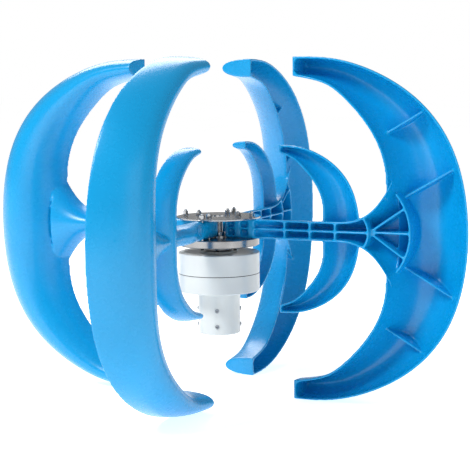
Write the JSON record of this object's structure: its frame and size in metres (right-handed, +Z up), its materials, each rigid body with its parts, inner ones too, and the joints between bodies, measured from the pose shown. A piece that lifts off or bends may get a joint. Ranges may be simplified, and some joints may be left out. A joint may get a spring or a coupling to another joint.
{
  "type": "vertical axis wind turbine",
  "caption": "Vertical axis wind turbine: crescent scoop blades clamped between hub plates on a pole-mounted generator, with a sleeve and set screws below.",
  "frame": {"origin": "centre of the pole sleeve's mouth, on the turning axis", "axes": "+Z up the turning axis, +X along the first blade's arm, whose open side faces -Y"},
  "size_m": [0.732, 0.732, 0.481],
  "materials": {
    "blade_plastic": "glossy moulded plastic",
    "polished_steel": "polished sheet",
    "turned_aluminium": "turned and polished",
    "stainless_fasteners": "bright",
    "shaft_steel": "dark oiled",
    "magnet_plating": "nickel plated",
    "core_iron": "laminated",
    "copper_wire": "enamelled wire",
    "white_enamel": "gloss white enamel",
    "black_rubber": "moulded",
    "black_screws": "black oxide",
    "set_screw_steel": "plain",
    "bearing_steel": "ground"
  },
  "bodies": {
    "generator": {"pole_sleeve": "white_enamel", "lower_housing": "white_enamel", "upper_housing": "white_enamel", "housing_seal": "black_rubber", "housing_screws": "black_screws", "bearing_cap": "white_enamel", "cap_screws": "black_screws", "shaft_seal": "black_rubber", "stator_core": "core_iron", "stator_coils": "copper_wire", "lower_bearing_outer_race": "bearing_steel", "upper_bearing_outer_race": "bearing_steel", "sleeve_screws": "black_screws", "set_screws": "set_screw_steel", "cable_grommet": "black_rubber"},
    "rotor": {"blade_1": "blade_plastic", "blade_2": "blade_plastic", "blade_3": "blade_plastic", "blade_4": "blade_plastic", "top_hub_plate": "polished_steel", "hub_disc": "turned_aluminium", "blade_bolts": "stainless_fasteners", "bolt_washers": "stainless_fasteners", "bolt_nuts": "stainless_fasteners", "shaft": "shaft_steel", "drive_pins": "shaft_steel", "shaft_washer": "stainless_fasteners", "shaft_nut": "stainless_fasteners", "magnet_carrier": "shaft_steel", "magnets": "magnet_plating", "lower_bearing_inner_race": "bearing_steel", "upper_bearing_inner_race": "bearing_steel"},
    "ball_train": {"lower_bearing_balls": "bearing_steel", "lower_bearing_cage": "bearing_steel", "upper_bearing_balls": "bearing_steel", "upper_bearing_cage": "bearing_steel"}
  },
  "joints": [
    {"name": "rotor_spin", "type": "hinge", "parent": "generator", "child": "rotor", "pos_m": [0, 0, 0.1525], "axis": [0, 0, 1], "continuous": true},
    {"name": "ball_train_spin", "type": "hinge", "parent": "generator", "child": "ball_train", "pos_m": [0, 0, 0.0915], "axis": [0, 0, 1], "continuous": true}
  ],
  "couplings": [
    {"joint": "ball_train_spin", "follows": "rotor_spin", "ratio": 0.40769}
  ]
}
